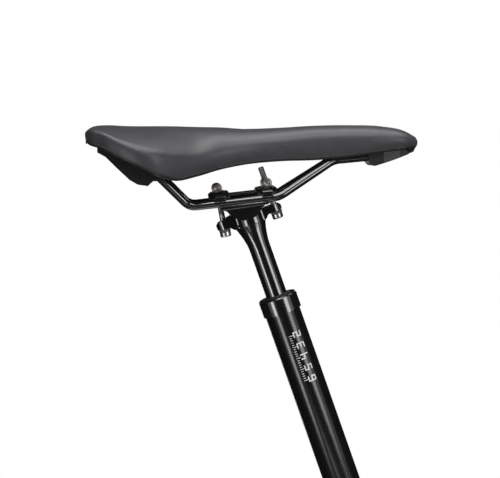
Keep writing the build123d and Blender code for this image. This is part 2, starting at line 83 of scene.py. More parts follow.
def tube_faces(rows, columns):
    """Faces between rings of points, with a face on each end."""
    last = (rows - 1) * columns
    ends = [tuple(range(columns)), tuple(range(last, last + columns))]
    return grid_faces(rows, columns, round_columns=True) + ends


# Sizes and directions that the looks share with the frame, lengths in millimetres
post_lean = radians(19.4)
rail_pitch = radians(6.3)
clamp_height = 101.5
tube_radius = 15.45
pivot_height = 81.5
pivot_offset = 23.2
nut_spacing = 42.0
nut_height = 12.0
nut_length = 18.0
bolt_length = 41.0
bolt_head_height = 5.0
post_up = Vector((-sin(post_lean), 0, cos(post_lean)))
post_forward = Vector((cos(post_lean), 0, sin(post_lean)))
rail_up = Vector((-sin(rail_pitch), 0, cos(rail_pitch)))
rail_forward = Vector((cos(rail_pitch), 0, sin(rail_pitch)))
leftward = Vector((0, 1, 0))
clamp_centre = post_up * clamp_height

# Camera, at the photograph's angle
photo_width = 500
metres_per_pixel = 0.85 * MM
camera_target = mm(-27.688, 0, 62.145)
camera_distance = 0.936
camera_azimuth = -3
camera_height_angle = 4.8
camera_sees_from, camera_sees_to = 0.01, 50
sensor_width = 36.0


def add_camera():
    data = bpy.data.cameras.new("camera")
    data.sensor_width = sensor_width
    data.lens = sensor_width * camera_distance / (photo_width * metres_per_pixel)
    data.clip_start = camera_sees_from
    data.clip_end = camera_sees_to
    camera = bpy.data.objects.new("camera", data)
    back = direction(camera_azimuth, camera_height_angle)
    right = Vector((cos(radians(camera_azimuth)), sin(radians(camera_azimuth)), 0))
    turn = Matrix((right, back.cross(right), back)).transposed().to_4x4()
    camera.matrix_world = Matrix.Translation(camera_target + back * camera_distance) @ turn
    bpy.context.scene.collection.objects.link(camera)
    bpy.context.scene.camera = camera


add_camera()
bpy.context.scene.view_settings.view_transform = "Standard"

# Soft boxes, each placed by its direction from the object. The post leans, so the strips that it
# mirrors stand low on its left and high on its right.
lamp_centre = mm(0, 0, -20)
lamp_distance = 1.8
soft_boxes = (
    # name, azimuth, height angle, width and height in metres, radiance
    ("left_strip", -38, -17, 0.42, 0.85, 4.6),
    ("right_strip", 39, 8, 0.6, 0.95, 3.8),
    ("left_panel", -58, -12, 0.45, 0.9, 0.6),
    ("right_panel", 61, 8, 0.45, 0.9, 0.6),
    ("back_left_strip", -166, -10, 0.4, 1.0, 1.6),
    ("back_right_strip", 166, 8, 0.4, 1.0, 1.6),
    ("top_box", 0, 90, 3.2, 0.75, 3.2),
    ("high_bar", 3, 53, 1.5, 0.34, 7.0),
    ("front_bar", 0, 32, 1.3, 0.2, 1.2),
    ("low_bar", 6, -27, 1.3, 0.12, 2.0),
)


def add_soft_box(name, azimuth, height_angle, width, height, radiance):
    """A rectangular lamp that faces the object."""
    away = direction(azimuth, height_angle)
    data = bpy.data.lights.new(name, "AREA")
    data.shape = "RECTANGLE"
    data.size = width
    data.size_y = height
    data.energy = radiance * width * height * pi
    lamp = bpy.data.objects.new(name, data)
    lamp.location = lamp_centre + away * lamp_distance
    lamp.rotation_euler = away.to_track_quat("Z", "Y").to_euler()
    lamp.visible_camera = False
    bpy.context.scene.collection.objects.link(lamp)


for soft_box in soft_boxes:
    add_soft_box(*soft_box)

# A dark curtain, so that gloss black mirrors black between the lamps, in metres
floor_height = -0.95  # the ground below a saddle on a bicycle
curtain_radius = 2.05
curtain_top = 3.0
curtain_columns = 32
curtain_hem_radius = 0.35
curtain_hem_lift = 0.002
curtain_grey = 0.01


def add_curtain():
    """The curtain round the set and its hem on the floor, open above, which only reflections see."""
    low = floor_height + curtain_hem_lift
    profile = ((curtain_hem_radius, low), (curtain_radius, low), (curtain_radius, curtain_top))
    outward = [direction(360 * i / curtain_columns, 0) for i in range(curtain_columns + 1)]
    vertices = [(p.x * radius, p.y * radius, z) for p in outward for radius, z in profile]
    mesh = bpy.data.meshes.new("dark_wall")
    mesh.from_pydata(vertices, [], grid_faces(curtain_columns + 1, len(profile)))
    curtain = bpy.data.objects.new("dark_wall", mesh)
    bpy.context.scene.collection.objects.link(curtain)
    material = bpy.data.materials.new("dark_cloth")
    material.use_nodes = True
    shader = material.node_tree.nodes["Principled BSDF"]
    shader.inputs["Base Color"].default_value = (curtain_grey, curtain_grey, curtain_grey, 1)
    shader.inputs["Roughness"].default_value = 1.0
    mesh.materials.append(material)
    curtain.visible_camera = False
    curtain.visible_diffuse = False
    curtain.visible_shadow = False
    curtain.visible_transmission = False


add_curtain()

# The world and the floor: white where they are seen, and plain light on the object
world_light = 0.2
world_seen = 1.0
floor_half = 40.0
floor_grey = 0.6
shade_from, shade_to = 0.3, 1.1  # distances from the object between which the shade on it fades out
shade_white = 0.86  # the share of plain white in the floor where the shade is full


def seen_ray(tree):
    """1 for the rays that show the background: the camera's, reflections and what passes glass."""
    path = tree.nodes.new("ShaderNodeLightPath")
    total = path.outputs["Is Camera Ray"]
    for kind in ("Is Glossy Ray", "Is Transmission Ray"):
        either = tree.nodes.new("ShaderNodeMath")
        either.operation = "MAXIMUM"
        tree.links.new(total, either.inputs[0])
        tree.links.new(path.outputs[kind], either.inputs[1])
        total = either.outputs[0]
    return total


def add_world():
    world = bpy.data.worlds.new("studio")
    world.use_nodes = True
    tree = world.node_tree
    tree.nodes.clear()
    seen = seen_ray(tree)
    strength = tree.nodes.new("ShaderNodeMapRange")
    strength.inputs["To Min"].default_value = world_light
    strength.inputs["To Max"].default_value = world_seen
    tree.links.new(seen, strength.inputs["Value"])
    background = tree.nodes.new("ShaderNodeBackground")
    background.inputs["Color"].default_value = (1, 1, 1, 1)
    tree.links.new(strength.outputs["Result"], background.inputs["Strength"])
    out = tree.nodes.new("ShaderNodeOutputWorld")
    tree.links.new(background.outputs["Background"], out.inputs["Surface"])
    bpy.context.scene.world = world


def floor_material():
    """Pale grey for the lamps' light, mixed with white where the floor is seen."""
    material = bpy.data.materials.new("floor_white")
    material.use_nodes = True
    tree = material.node_tree
    tree.nodes.clear()
    diffuse = tree.nodes.new("ShaderNodeBsdfDiffuse")
    diffuse.inputs["Color"].default_value = (floor_grey, floor_grey, floor_grey, 1)
    glow = tree.nodes.new("ShaderNodeEmission")
    distance = tree.nodes.new("ShaderNodeVectorMath")
    distance.operation = "LENGTH"
    tree.links.new(tree.nodes.new("ShaderNodeTexCoord").outputs["Object"], distance.inputs[0])
    fade = tree.nodes.new("ShaderNodeMapRange")
    fade.interpolation_type = "SMOOTHSTEP"
    fade.inputs["From Min"].default_value = shade_from
    fade.inputs["From Max"].default_value = shade_to
    fade.inputs["To Min"].default_value = shade_white
    tree.links.new(distance.outputs["Value"], fade.inputs["Value"])
    share = tree.nodes.new("ShaderNodeMath")
    share.operation = "MULTIPLY"
    tree.links.new(fade.outputs["Result"], share.inputs[1])
    mix = tree.nodes.new("ShaderNodeMixShader")
    out = tree.nodes.new("ShaderNodeOutputMaterial")
    tree.links.new(seen_ray(tree), share.inputs[0])
    tree.links.new(share.outputs[0], mix.inputs["Fac"])
    tree.links.new(diffuse.outputs[0], mix.inputs[1])
    tree.links.new(glow.outputs[0], mix.inputs[2])
    tree.links.new(mix.outputs[0], out.inputs["Surface"])
    return material


def add_floor():
    corners = [(x * floor_half, y * floor_half) for x, y in ((-1, -1), (1, -1), (1, 1), (-1, 1))]
    mesh = bpy.data.meshes.new("floor")
    mesh.from_pydata([(x, y, floor_height) for x, y in corners], [], [(0, 1, 2, 3)])
    mesh.materials.append(floor_material())
    floor = bpy.data.objects.new("floor", mesh)
    bpy.context.scene.collection.objects.link(floor)


add_world()
add_floor()

# Materials, by name. Every texture is read from object coordinates, in metres.
materials = {}
edge_samples = 4
noise_low, noise_high = 0.3, 0.7  # most of a noise lies between them


class Surface:
    """A Principled material with helpers for its textures."""

    def __init__(self, name, colour, metallic=0.0, roughness=0.5):
        self.material = bpy.data.materials.new(name)
        self.material.use_nodes = True
        self.tree = self.material.node_tree
        self.shader = self.tree.nodes["Principled BSDF"]
        self.colour = colour
        self.roughness = roughness
        self.set("Base Color", (*colour, 1))
        self.set("Metallic", metallic)
        self.set("Roughness", roughness)
        self.place = self.tree.nodes.new("ShaderNodeTexCoord").outputs["Object"]
        self.normal = None
        materials[name] = self.material

    def set(self, socket, value):
        self.shader.inputs[socket].default_value = value

    def link(self, source, target):
        self.tree.links.new(source, target)

    def stretched(self, scale, lean=0.0):
        """Object coordinates scaled by axis, turned first by lean about Y."""
        leaned = self.tree.nodes.new("ShaderNodeMapping")
        leaned.inputs["Rotation"].default_value = (0, lean, 0)
        self.link(self.place, leaned.inputs["Vector"])
        scaled = self.tree.nodes.new("ShaderNodeMapping")
        scaled.inputs["Scale"].default_value = scale
        self.link(leaned.outputs["Vector"], scaled.inputs["Vector"])
        return scaled.outputs["Vector"]

    def noise(self, scale, detail=2.0, at=None):
        texture = self.tree.nodes.new("ShaderNodeTexNoise")
        texture.inputs["Scale"].default_value = scale
        texture.inputs["Detail"].default_value = detail
        self.link(at or self.place, texture.inputs["Vector"])
        return texture.outputs["Fac"]

    def cells(self, scale, feature="F1"):
        texture = self.tree.nodes.new("ShaderNodeTexVoronoi")
        texture.feature = feature
        texture.inputs["Scale"].default_value = scale
        self.link(self.place, texture.inputs["Vector"])
        return texture.outputs["Distance"]

    def spread(self, source, low, high):
        """A noise, spread over low to high."""
        span = self.tree.nodes.new("ShaderNodeMapRange")
        span.inputs["From Min"].default_value = noise_low
        span.inputs["From Max"].default_value = noise_high
        span.inputs["To Min"].default_value = low
        span.inputs["To Max"].default_value = high
        self.link(source, span.inputs["Value"])
        return span.outputs["Result"]

    def vary_colour(self, source, darker, lighter):
        """Shades of the base colour, from darker to lighter times it."""
        mix = self.tree.nodes.new("ShaderNodeMix")
        mix.data_type = "RGBA"
        mix.inputs[6].default_value = (*(c * darker for c in self.colour), 1)
        mix.inputs[7].default_value = (*(min(1, c * lighter) for c in self.colour), 1)
        self.link(self.spread(source, 0, 1), mix.inputs[0])
        self.link(mix.outputs[2], self.shader.inputs["Base Color"])

    def vary_roughness(self, source, less, more):
        self.link(
            self.spread(source, self.roughness - less, self.roughness + more),
            self.shader.inputs["Roughness"],
        )

    def soften(self, radius):
        """Edges that catch the light as if they were rounded to a radius in millimetres."""
        node = self.tree.nodes.new("ShaderNodeBevel")
        node.samples = edge_samples
        node.inputs["Radius"].default_value = radius * MM
        self.normal = node.outputs["Normal"]
        self.link(self.normal, self.shader.inputs["Normal"])

    def bump(self, source, depth):
        """Relief of a depth in metres, added to what is there."""
        node = self.tree.nodes.new("ShaderNodeBump")
        node.inputs["Distance"].default_value = depth
        self.link(source, node.inputs["Height"])
        if self.normal is not None:
            self.link(self.normal, node.inputs["Normal"])
        self.normal = node.outputs["Normal"]
        self.link(self.normal, self.shader.inputs["Normal"])


def anodised(name, roughness, lean, rings, level=1.0, coat=0.0, edge=0.4):
    """Black anodised metal with fine marks left round it by the lathe."""
    surface = Surface(name, (0.006, 0.006, 0.0066), roughness=roughness)
    surface.set("Specular IOR Level", level)
    surface.set("Coat Weight", coat)
    surface.set("Coat IOR", 1.8)
    surface.set("Coat Roughness", roughness)
    surface.soften(edge)
    round_it = surface.stretched(scale=(60, 60, rings), lean=lean)
    marks = surface.noise(scale=1.0, detail=3.0, at=round_it)
    surface.vary_colour(surface.noise(scale=70, detail=3.0), darker=0.8, lighter=1.25)
    surface.vary_roughness(marks, less=0.02, more=0.03)
    surface.bump(marks, depth=1.5e-6)


def bare_metal(name, colour, roughness, grain=1500, pits=0.0):
    """Turned or drawn metal with a fine grain and slight stains."""
    surface = Surface(name, colour, metallic=1.0, roughness=roughness)
    surface.soften(radius=0.25)
    surface.vary_colour(surface.noise(scale=260, detail=4.0), darker=0.8, lighter=1.08)
    surface.vary_roughness(surface.noise(grain), less=0.06, more=0.08)
    surface.bump(surface.noise(grain), depth=1e-5)
    if pits:
        surface.bump(surface.noise(scale=420), pits)


def moulded(name, colour, roughness, grain=1400, depth=3e-5, level=0.5):
    """Moulded plastic or rubber with the fine grain of its mould."""
    surface = Surface(name, colour, roughness=roughness)
    surface.set("Specular IOR Level", level)
    surface.vary_colour(surface.noise(scale=90, detail=3.0), darker=0.85, lighter=1.2)
    surface.vary_roughness(surface.noise(scale=220), less=0.04, more=0.06)
    surface.bump(surface.cells(grain), depth)


def leather(name):
    """Smooth synthetic leather: small rounded pebbles and shallow pores."""
    surface = Surface(name, (0.05, 0.051, 0.055), roughness=0.42)
    surface.set("Specular IOR Level", 0.65)
    surface.vary_colour(surface.noise(scale=60, detail=4.0), darker=0.9, lighter=1.12)
    surface.vary_roughness(surface.noise(scale=420, detail=3.0), less=0.03, more=0.05)
    surface.bump(surface.cells(scale=1250, feature="SMOOTH_F1"), depth=7e-5)
    surface.bump(surface.noise(scale=2600), depth=3e-5)


def gloss_paint(name):
    """Black enamel with a slight orange peel."""
    surface = Surface(name, (0.012, 0.012, 0.013), roughness=0.16)
    surface.set("Specular IOR Level", 1.0)
    surface.set("Coat Weight", 0.9)
    surface.set("Coat IOR", 1.8)
    surface.set("Coat Roughness", 0.1)
    surface.vary_colour(surface.noise(scale=120, detail=3.0), darker=0.8, lighter=1.3)
    surface.vary_roughness(surface.noise(scale=300), less=0.03, more=0.05)
    surface.bump(surface.noise(scale=300, detail=1.0), depth=3e-6)


anodised("post_tube", roughness=0.2, lean=post_lean, rings=2600, level=0.9)
anodised("post_collar", roughness=0.17, lean=post_lean, rings=3200, coat=0.9)
anodised("shaft_black", roughness=0.15, lean=post_lean, rings=2400, coat=0.9, edge=0.6)
anodised("clamp_black", roughness=0.22, lean=rail_pitch, rings=400, coat=0.6, edge=0.7)
bare_metal("raw_alloy", (0.62, 0.61, 0.6), roughness=0.32)
bare_metal("polished_steel", (0.6, 0.58, 0.55), roughness=0.3)
bare_metal("nut_steel", (0.4, 0.375, 0.34), roughness=0.4, grain=900, pits=0.00012)
gloss_paint("rail_black")
bare_metal("spring_steel", (0.42, 0.43, 0.45), roughness=0.34)
bare_metal("brass_key", (0.72, 0.5, 0.2), roughness=0.3)
moulded("acetal", (0.7, 0.69, 0.65), roughness=0.42)
moulded("white_ink", (0.88, 0.88, 0.87), roughness=0.5)
moulded("rubber_seal", (0.02, 0.02, 0.02), roughness=0.6)
moulded("elastomer", (0.55, 0.2, 0.05), roughness=0.5)
moulded("shell_plastic", (0.019, 0.019, 0.02), roughness=0.38, level=0.4)
moulded("foam", (0.4, 0.4, 0.42), roughness=0.9, grain=900, depth=0.0002)
leather("cover_leather")


def dress(obj, look):
    """Give an object one of the materials above."""
    if not obj.material_slots:
        obj.data.materials.append(None)
    for place in obj.material_slots:
        place.material = materials[look]


def dress_nodes():
    """Each node of the frame takes the material that its slot names, the barrel nuts a duller steel."""
    for name, node in nodes.items():
        slot = node.material_slots[0].material.name.split(".")[0]
        dress(node, "nut_steel" if "barrel_nut" in name else slot)


dress_nodes()


def new_piece(name, vertices, faces, slot, body, smooth=True, look=None):
    """A mesh object with its material, riding on a body where one is given."""
    mesh = bpy.data.meshes.new(name)
    mesh.from_pydata([tuple(v) for v in vertices], [], faces)
    mesh.validate()
    shape = bmesh.new()
    shape.from_mesh(mesh)
    bmesh.ops.recalc_face_normals(shape, faces=shape.faces)
    shape.to_mesh(mesh)
    shape.free()
    for face in mesh.polygons:
        face.use_smooth = smooth
    piece = bpy.data.objects.new(name, mesh)
    bpy.context.scene.collection.objects.link(piece)
    dress(piece, look or slot)
    if body:
        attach(piece, body)
    return piece


def at_clamp(point):
    """A place given from the clamp's centre, in world millimetres, as metres."""
    return (clamp_centre + Vector(point)) * MM


# Saddle cover and its pad: sections from tail to nose, in millimetres from the clamp's centre
saddle_sections = (
    # station, half width, top, crease and lower edge
    (-131.0, 24.0, 57.0, 54.8, 50.0),
    (-126.0, 46.0, 60.6, 57.0, 47.0),
    (-115.0, 62.0, 62.4, 56.0, 43.4),
    (-100.0, 70.5, 61.9, 49.5, 36.3),
    (-85.0, 73.5, 61.6, 43.6, 29.5),
    (-70.0, 70.5, 61.6, 40.0, 22.2),
    (-56.0, 61.0, 61.4, 37.6, 18.0),
    (-40.0, 48.5, 60.9, 36.5, 20.8),
    (-20.0, 36.0, 60.6, 39.5, 26.3),
    (0.0, 28.5, 59.4, 44.5, 30.2),
    (30.0, 23.0, 60.3, 48.5, 33.0),
    (60.0, 20.5, 62.2, 51.5, 33.9),
    (90.0, 19.5, 62.8, 52.5, 36.5),
    (118.0, 18.0, 61.8, 52.0, 40.5),
    (137.0, 14.5, 58.0, 51.0, 43.3),
    (146.5, 8.5, 52.8, 50.6, 45.0),
)
tail_station, nose_station = saddle_sections[0][0], saddle_sections[-1][0]
waist_station, waist_fade = -40.0, 20.0  # where the wings' shape starts to give way to the waist's
shoulder, mid_shoulder = 0.62, 0.83  # shares of the half width where the crown bends
wing_crown = (0.36, 0.64)  # how far it has come down there, as shares of its height
waist_crown = (0.22, 0.48)
wing_draw_in = 2.0  # how far the skirt comes in below the crease
waist_draw_in = 3.6
nose_draw_in_share = 0.22
skirt_bulge = 0.8
crease_rounding = 3.2
arc_points = 24
fine_points = 400  # of a section's outline while its crease is rounded

# The cover's two ends
end_bulge = 2.2
tail_start = 1.8  # where the tail's rounded end begins, from the first section
nose_stop = 0.9
tail_middle, nose_middle = 54.4, 47.8  # heights at which the ends reach furthest
edge_span = 1.6  # their rounding goes on below the lower edge by this factor
edge_swell = 1 - edge_span**-2  # the share of the bulge that is left at the lower edge
tail_tuck, tuck_length = 0.9, 14.0  # the tail's lower edge lies forward of its crease
tuck_power = 1.5
tail_power, nose_power = 2.0, 5.0  # how square the two ends are in plan
end_gathering = 0.055  # closer rows near both ends, where the outline turns most
cap_rows = 10
cap_slit = 0.01  # the last row's share of the end's width

# The cover's mesh and its hem, which turns under the lower edge and up behind the skin
cover_rows = 84
cover_columns = 56
cover_wall = 1.6
hem_height = 3.2
hem_rows = (
    # inward of the skin, above its lower edge
    (cover_wall - 0.1, hem_height),
    (cover_wall, 0.1),
    (cover_wall / 2, -0.35),
)
held_columns = 5  # on each side, which the cloth simulation leaves in place
cover_swell = 1.2 * MM
cloth_frames = 20


def smooth_sections(count):
    """Sections at even stations, on a smooth curve through the given ones."""
    rows = np.array(saddle_sections)
    stations = rows[:, 0]
    slopes = np.gradient(rows, stations, axis=0)
    share = np.linspace(0, 1, count)
    share -= end_gathering * np.sin(2 * tau * share) / 2
    length = nose_station - tail_station - tail_start - nose_stop
    out = []
    for x in tail_station + tail_start + length * share:
        i = min(max(int(np.searchsorted(stations, x)) - 1, 0), len(rows) - 2)
        gap = stations[i + 1] - stations[i]
        t = (x - stations[i]) / gap
        out.append(
            (2 * t**3 - 3 * t**2 + 1) * rows[i]
            + (t**3 - 2 * t**2 + t) * gap * slopes[i]
            + (3 * t**2 - 2 * t**3) * rows[i + 1]
            + (t**3 - t**2) * gap * slopes[i + 1]
        )
    return out


def wing_share(station):
    """1 at the wings, 0 from the waist to the nose."""
    t = clamped((station - waist_station) / waist_fade)
    return 1 - t * t * (3 - 2 * t)


def draw_in(station, half):
    """How far the lower edge lies inward of the crease."""
    share = wing_share(station)
    return share * wing_draw_in + (1 - share) * min(waist_draw_in, nose_draw_in_share * half)


def tuck(station, below):
    """How far forward the tail is drawn in, at a share of the way from the crease to the lower edge."""
    t = clamped((station - tail_station) / tuck_length)
    return tail_tuck * (1 - t) ** 2 * clamped(below) ** tuck_power


def arc(start, through, end, count=arc_points):
    """Points on the circle through three points, or on their line where they have none."""
    a, b, c = (complex(*p) for p in (start, through, end))
    ratio = (c - a) / (b - a)
    if abs(ratio.imag) < 1e-6:
        return [((a + (c - a) * t).real, (a + (c - a) * t).imag) for t in np.linspace(0, 1, count)]
    centre = a + (b - a) * (ratio - abs(ratio) ** 2) / (2j * ratio.imag)
    turn = np.angle((c - centre) / (a - centre))
    points = centre + (a - centre) * np.exp(1j * turn * np.linspace(0, 1, count))
    return [(p.real, p.imag) for p in points]


def run_along(line):
    """How far along the line each of its points is."""
    return np.concatenate([[0], np.cumsum(np.hypot(*np.diff(line, axis=0).T))])


def evenly_spaced(line, count):
    """Points at even steps along the line."""
    run = run_along(line)
    places = np.linspace(0, run[-1], count)
    return np.stack([np.interp(places, run, line[:, k]) for k in (0, 1)], axis=1)


def rounded(line, reach):
    """The line with each point at the mean of its neighbours, and its ends in place."""
    padded = np.vstack([np.repeat(line[:1], reach, 0), line, np.repeat(line[-1:], reach, 0)])
    kernel = np.ones(2 * reach + 1) / (2 * reach + 1)
    out = np.stack([np.convolve(padded[:, k], kernel, "valid") for k in (0, 1)], axis=1)
    out[0] = line[0]
    out[-1] = line[-1]
    return out


def section_outline(station, half, top, crease, edge):
    """Points over the saddle from one lower edge to the other, evenly spaced, with a soft crease."""
    share = wing_share(station)
    low_half = half - draw_in(station, half)
    flat, bulge = (
        top - (share * wing + (1 - share) * waist) * (top - crease)
        for wing, waist in zip(wing_crown, waist_crown)
    )
    side_half = (half + low_half) / 2 + skirt_bulge
    side = arc((low_half, edge), (side_half, (edge + crease) / 2), (half, crease))
    side += arc((half, crease), (mid_shoulder * half, bulge), (shoulder * half, flat))[1:]
    crown = arc((shoulder * half, flat), (0, top), (-shoulder * half, flat), 2 * arc_points)
    side = np.array(side + crown[1:arc_points] + [(0, top)])
    loop = np.vstack([side, side[-2::-1] * (-1, 1)])
    reach = max(1, int(crease_rounding / (run_along(loop)[-1] / fine_points)))
    return evenly_spaced(rounded(evenly_spaced(loop, fine_points), reach), cover_columns)


def cover_skin():
    """The cover's rows from tail to nose, each from one hem over the saddle to the other."""
    rings = []
    for x, half, top, crease, edge in smooth_sections(cover_rows):
        outline = section_outline(x, half, top, crease, edge)
        rings.append([(x + tuck(x, (crease - z) / (crease - edge)), y, z) for y, z in outline])
    rings = np.array(rings)
    lower = rings[:, [0, -1], :]
    inward = np.sign(lower[:, :, 1:2]) * (0, -1, 0)
    hem = [lower + inward * inside + (0, 0, above) for inside, above in hem_rows]
    return np.concatenate(
        [row[:, :1] for row in hem] + [rings] + [row[:, 1:] for row in hem[::-1]],
        axis=1,
    )


def end_cap(base, bulge, power, middle):
    """Rows that draw in from an end's row to a rounded face."""
    height = base[:, 2] - middle
    span = np.where(height > 0, height.max(), edge_span * height.min())
    swell = 1 - (height / span) ** 2
    inset = np.zeros(len(base))
    inset[: len(hem_rows)] = [inside for inside, above in hem_rows]
    inset = np.maximum(inset, inset[::-1])
    caps = []
    for angle in np.linspace(0, pi / 2, cap_rows + 1)[1:]:
        share = max(cos(angle), cap_slit)
        row = base * (1, share, 1)
        row[:, 0] += bulge * (1 - share**power) * swell - np.sign(bulge) * inset * (1 - share)
        caps.append(row)
    return np.array(caps)


def inflate(piece, pinned):
    """A short cloth simulation: the skin swells a little over its pad, held at the hem."""
    start = np.array([v.co for v in piece.data.vertices])
    group = piece.vertex_groups.new(name="held")
    group.add(pinned, 1.0, "REPLACE")
    cloth = piece.modifiers.new("cloth", "CLOTH")
    settings = cloth.settings
    settings.quality = 8
    settings.mass = 0.4
    settings.tension_stiffness = 20
    settings.compression_stiffness = 20
    settings.shear_stiffness = 8
    settings.bending_stiffness = 1.5
    settings.use_pressure = True
    settings.uniform_pressure_force = 4.0
    settings.effector_weights.gravity = 0.0
    settings.vertex_group_mass = "held"
    cloth.point_cache.frame_start = 1
    cloth.point_cache.frame_end = cloth_frames
    scene = bpy.context.scene
    for step in range(cloth_frames):
        scene.frame_set(step + 1)
    shape = piece.evaluated_get(bpy.context.evaluated_depsgraph_get())
    moved = np.array([v.co for v in shape.to_mesh().vertices]) - start
    shape.to_mesh_clear()
    length = np.linalg.norm(moved, axis=1, keepdims=True)
    capped = moved * np.minimum(1, cover_swell / np.maximum(length, 1e-9))
    piece.modifiers.remove(cloth)
    piece.vertex_groups.clear()
    piece.data.vertices.foreach_set("co", (start + capped).ravel())
    piece.data.update()
    scene.frame_set(1)


def add_cover():
    skin = cover_skin()
    tail = end_cap(skin[0], -end_bulge, tail_power, tail_middle)
    nose = end_cap(skin[-1], end_bulge, nose_power, nose_middle)
    skin = np.concatenate([tail[::-1], skin, nose])
    rows, columns = skin.shape[:2]
    vertices = [at_clamp(point) for row in skin for point in row]
    faces = grid_faces(rows, columns)
    cover = new_piece("padded_cover", vertices, faces, "cover_leather", "saddle")
    held = [*range(held_columns), *range(columns - held_columns, columns)]
    inflate(cover, [i * columns + j for i in range(rows) for j in held])
    smooth = cover.modifiers.new("round", "SUBSURF")
    smooth.levels = 1
    smooth.render_levels = 1
    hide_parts("saddle_cover", "saddle_foam")


add_cover()

# Trim: the shell's rim, which grips the cover's lower edge all round
rim_profile = (
    # outward of the lower edge, above it
    (0.35, -0.35), (0.75, 0.2), (0.95, 1.0), (0.95, 1.7), (0.6, 2.2),
    (-0.2, 2.3), (-1.7, 2.1), (-1.9, 0.6), (-1.5, -0.3), (-0.5, -0.5),
)
rim_end_points = 14
rim_end_reach = 9.0  # near both ends the rim stands out less
rim_end_share = 0.25
chin_start, chin_length, chin_depth = 139.5, 9.3, 5.2  # the nose's rounded underside
chin_rise = 4.0  # so steep that it comes to its depth in a quarter of its length
chin_set_back = 0.8  # how far inward it lies, as a share of its depth


def edge_loop():
    """The cover's lower edge, all round, from the tail along the rider's left."""
    side = np.array([
        (x + tuck(x, 1), half - draw_in(x, half), edge)
        for x, half, top, crease, edge in smooth_sections(cover_rows)
    ])
    ends = []
    for base, bulge, power in ((side[-1], end_bulge, nose_power), (side[0], -end_bulge, tail_power)):
        turn = np.linspace(0, pi, rim_end_points + 2)[1:-1]
        sweep = np.sign(bulge) * np.cos(turn)
        ends.append(np.stack([
            base[0] + bulge * (1 - np.abs(sweep) ** power) * edge_swell,
            abs(base[1]) * sweep,
            np.full(len(turn), base[2]),
        ], axis=1))
    return np.vstack([side, ends[0], side[::-1] * (1, -1, 1), ends[1]])


def rim_section(place):
    """The rim's profile at a place on its path."""
    near = min(abs(place[0] - station) for station in (tail_station, nose_station))
    stand = rim_end_share + (1 - rim_end_share) * min(1, near / rim_end_reach)
    t = clamped((place[0] - chin_start) / chin_length)
    chin = chin_depth * min(1, t * chin_rise) * (1 - t * t) ** 0.5
    section = []
    for outward, upward in rim_profile:
        if outward > 0:
            outward *= stand
        if upward < 0:
            outward -= chin_set_back * chin
            upward -= chin
        section.append((outward, upward))
    return section


def add_rim():
    path = edge_loop()
    along = np.roll(path, -1, axis=0) - np.roll(path, 1, axis=0)
    along /= np.linalg.norm(along, axis=1, keepdims=True)
    outward = np.cross((0, 0, 1.0), along)
    outward /= np.linalg.norm(outward, axis=1, keepdims=True)
    upward = np.cross(along, outward)
    vertices = [
        at_clamp(path[i] + outward[i] * o + upward[i] * u)
        for i in range(len(path))
        for o, u in rim_section(path[i])
    ]
    faces = grid_faces(len(path), len(rim_profile), round_rows=True, round_columns=True)
    new_piece("shell_rim", vertices, faces, "shell_plastic", "saddle")


add_rim()

# Turned pieces: rings round an axis
turned_columns = 48
turned_angles = np.linspace(0, tau, turned_columns, endpoint=False)
centre_radius = 0.05  # the smallest ring, round the axis


def turned(name, origin, along, rings, slot, body, look=None):
    """A closed piece of rings, each with its height along the axis and its radius at each angle."""
    across_x = leftward if abs(along.y) < 0.5 else Vector((1, 0, 0))
    across_y = along.cross(across_x)
    vertices = []
    for height, radii in rings:
        for angle, radius in zip(turned_angles, np.broadcast_to(radii, turned_columns)):
            outward = across_x * cos(angle) + across_y * sin(angle)
            vertices.append((origin + along * height + outward * float(radius)) * MM)
    faces = tube_faces(len(rings), turned_columns)
    return new_piece(name, vertices, faces, slot, body, look=look)


# Bolts: a round head with a hexagon socket below, a plain shank and a rolled thread above
bolt_radius = 2.5
bolt_head_radius = 4.7
socket_apothem = 2.0
socket_depth = 3.0
socket_point = 0.7  # how much deeper the middle of its floor is
socket_chamfer = 0.2
socket_taper = 0.98  # its floor's size, as a share of its mouth's
thread_pitch = 0.8
thread_depth = 0.16
thread_start = 13.0
shank_end = 0.3  # how far below the thread the last plain ring lies
thread_steps = 8  # rings in one turn of the thread
thread_fade = 2  # turns in which it reaches its depth
flank_slope, crest_flat = 1.4, 0.15
tip_chamfer = 0.7
tip_face = 0.1
tip_radius = 1.6
head_lower_edge = (
    # above the head's face, inside its radius
    (0, 0.9), (0.1, 0.55), (0.35, 0.2), (0.8, 0), (1.3, 0),
)
head_upper_edge = (
    # below the shank's foot, inside the head's radius
    (1.2, 0), (0.5, 0.04), (0.15, 0.2), (0.05, 0.5),
)
shank_foot = (
    # above the head, outside the shank's radius
    (-0.05, 0.1), (0.1, 0),
)


def bolt_rings():
    """Out of the socket and round the head, then up the shank and the thread to the tip."""
    face = -bolt_head_height
    hexagon = socket_apothem / np.cos((turned_angles + pi / 6) % (pi / 3) - pi / 6)
    rings = [
        (face + socket_depth + socket_point, centre_radius),
        (face + socket_depth, hexagon * socket_taper),
        (face + socket_chamfer, hexagon),
        (face, hexagon + socket_chamfer),
    ]
    rings += [(face + above, bolt_head_radius - inside) for above, inside in head_lower_edge]
    rings += [(-below, bolt_head_radius - inside) for below, inside in head_upper_edge]
    rings += [(above, bolt_radius + outside) for above, outside in shank_foot]
    rings.append((thread_start - shank_end, bolt_radius))
    top = bolt_length - tip_face
    for height in np.arange(thread_start, top, thread_pitch / thread_steps):
        turn = (height / thread_pitch - turned_angles / tau) % 1
        groove = np.clip(flank_slope * (1 - np.abs(2 * turn - 1)) - crest_flat, 0, 1)
        fade = min(1, (height - thread_start) / (thread_fade * thread_pitch))
        radius = bolt_radius - thread_depth * fade * groove
        rings.append((height, np.minimum(radius, bolt_radius - tip_chamfer + (top - height))))
    rings.append((bolt_length, tip_radius))
    return rings


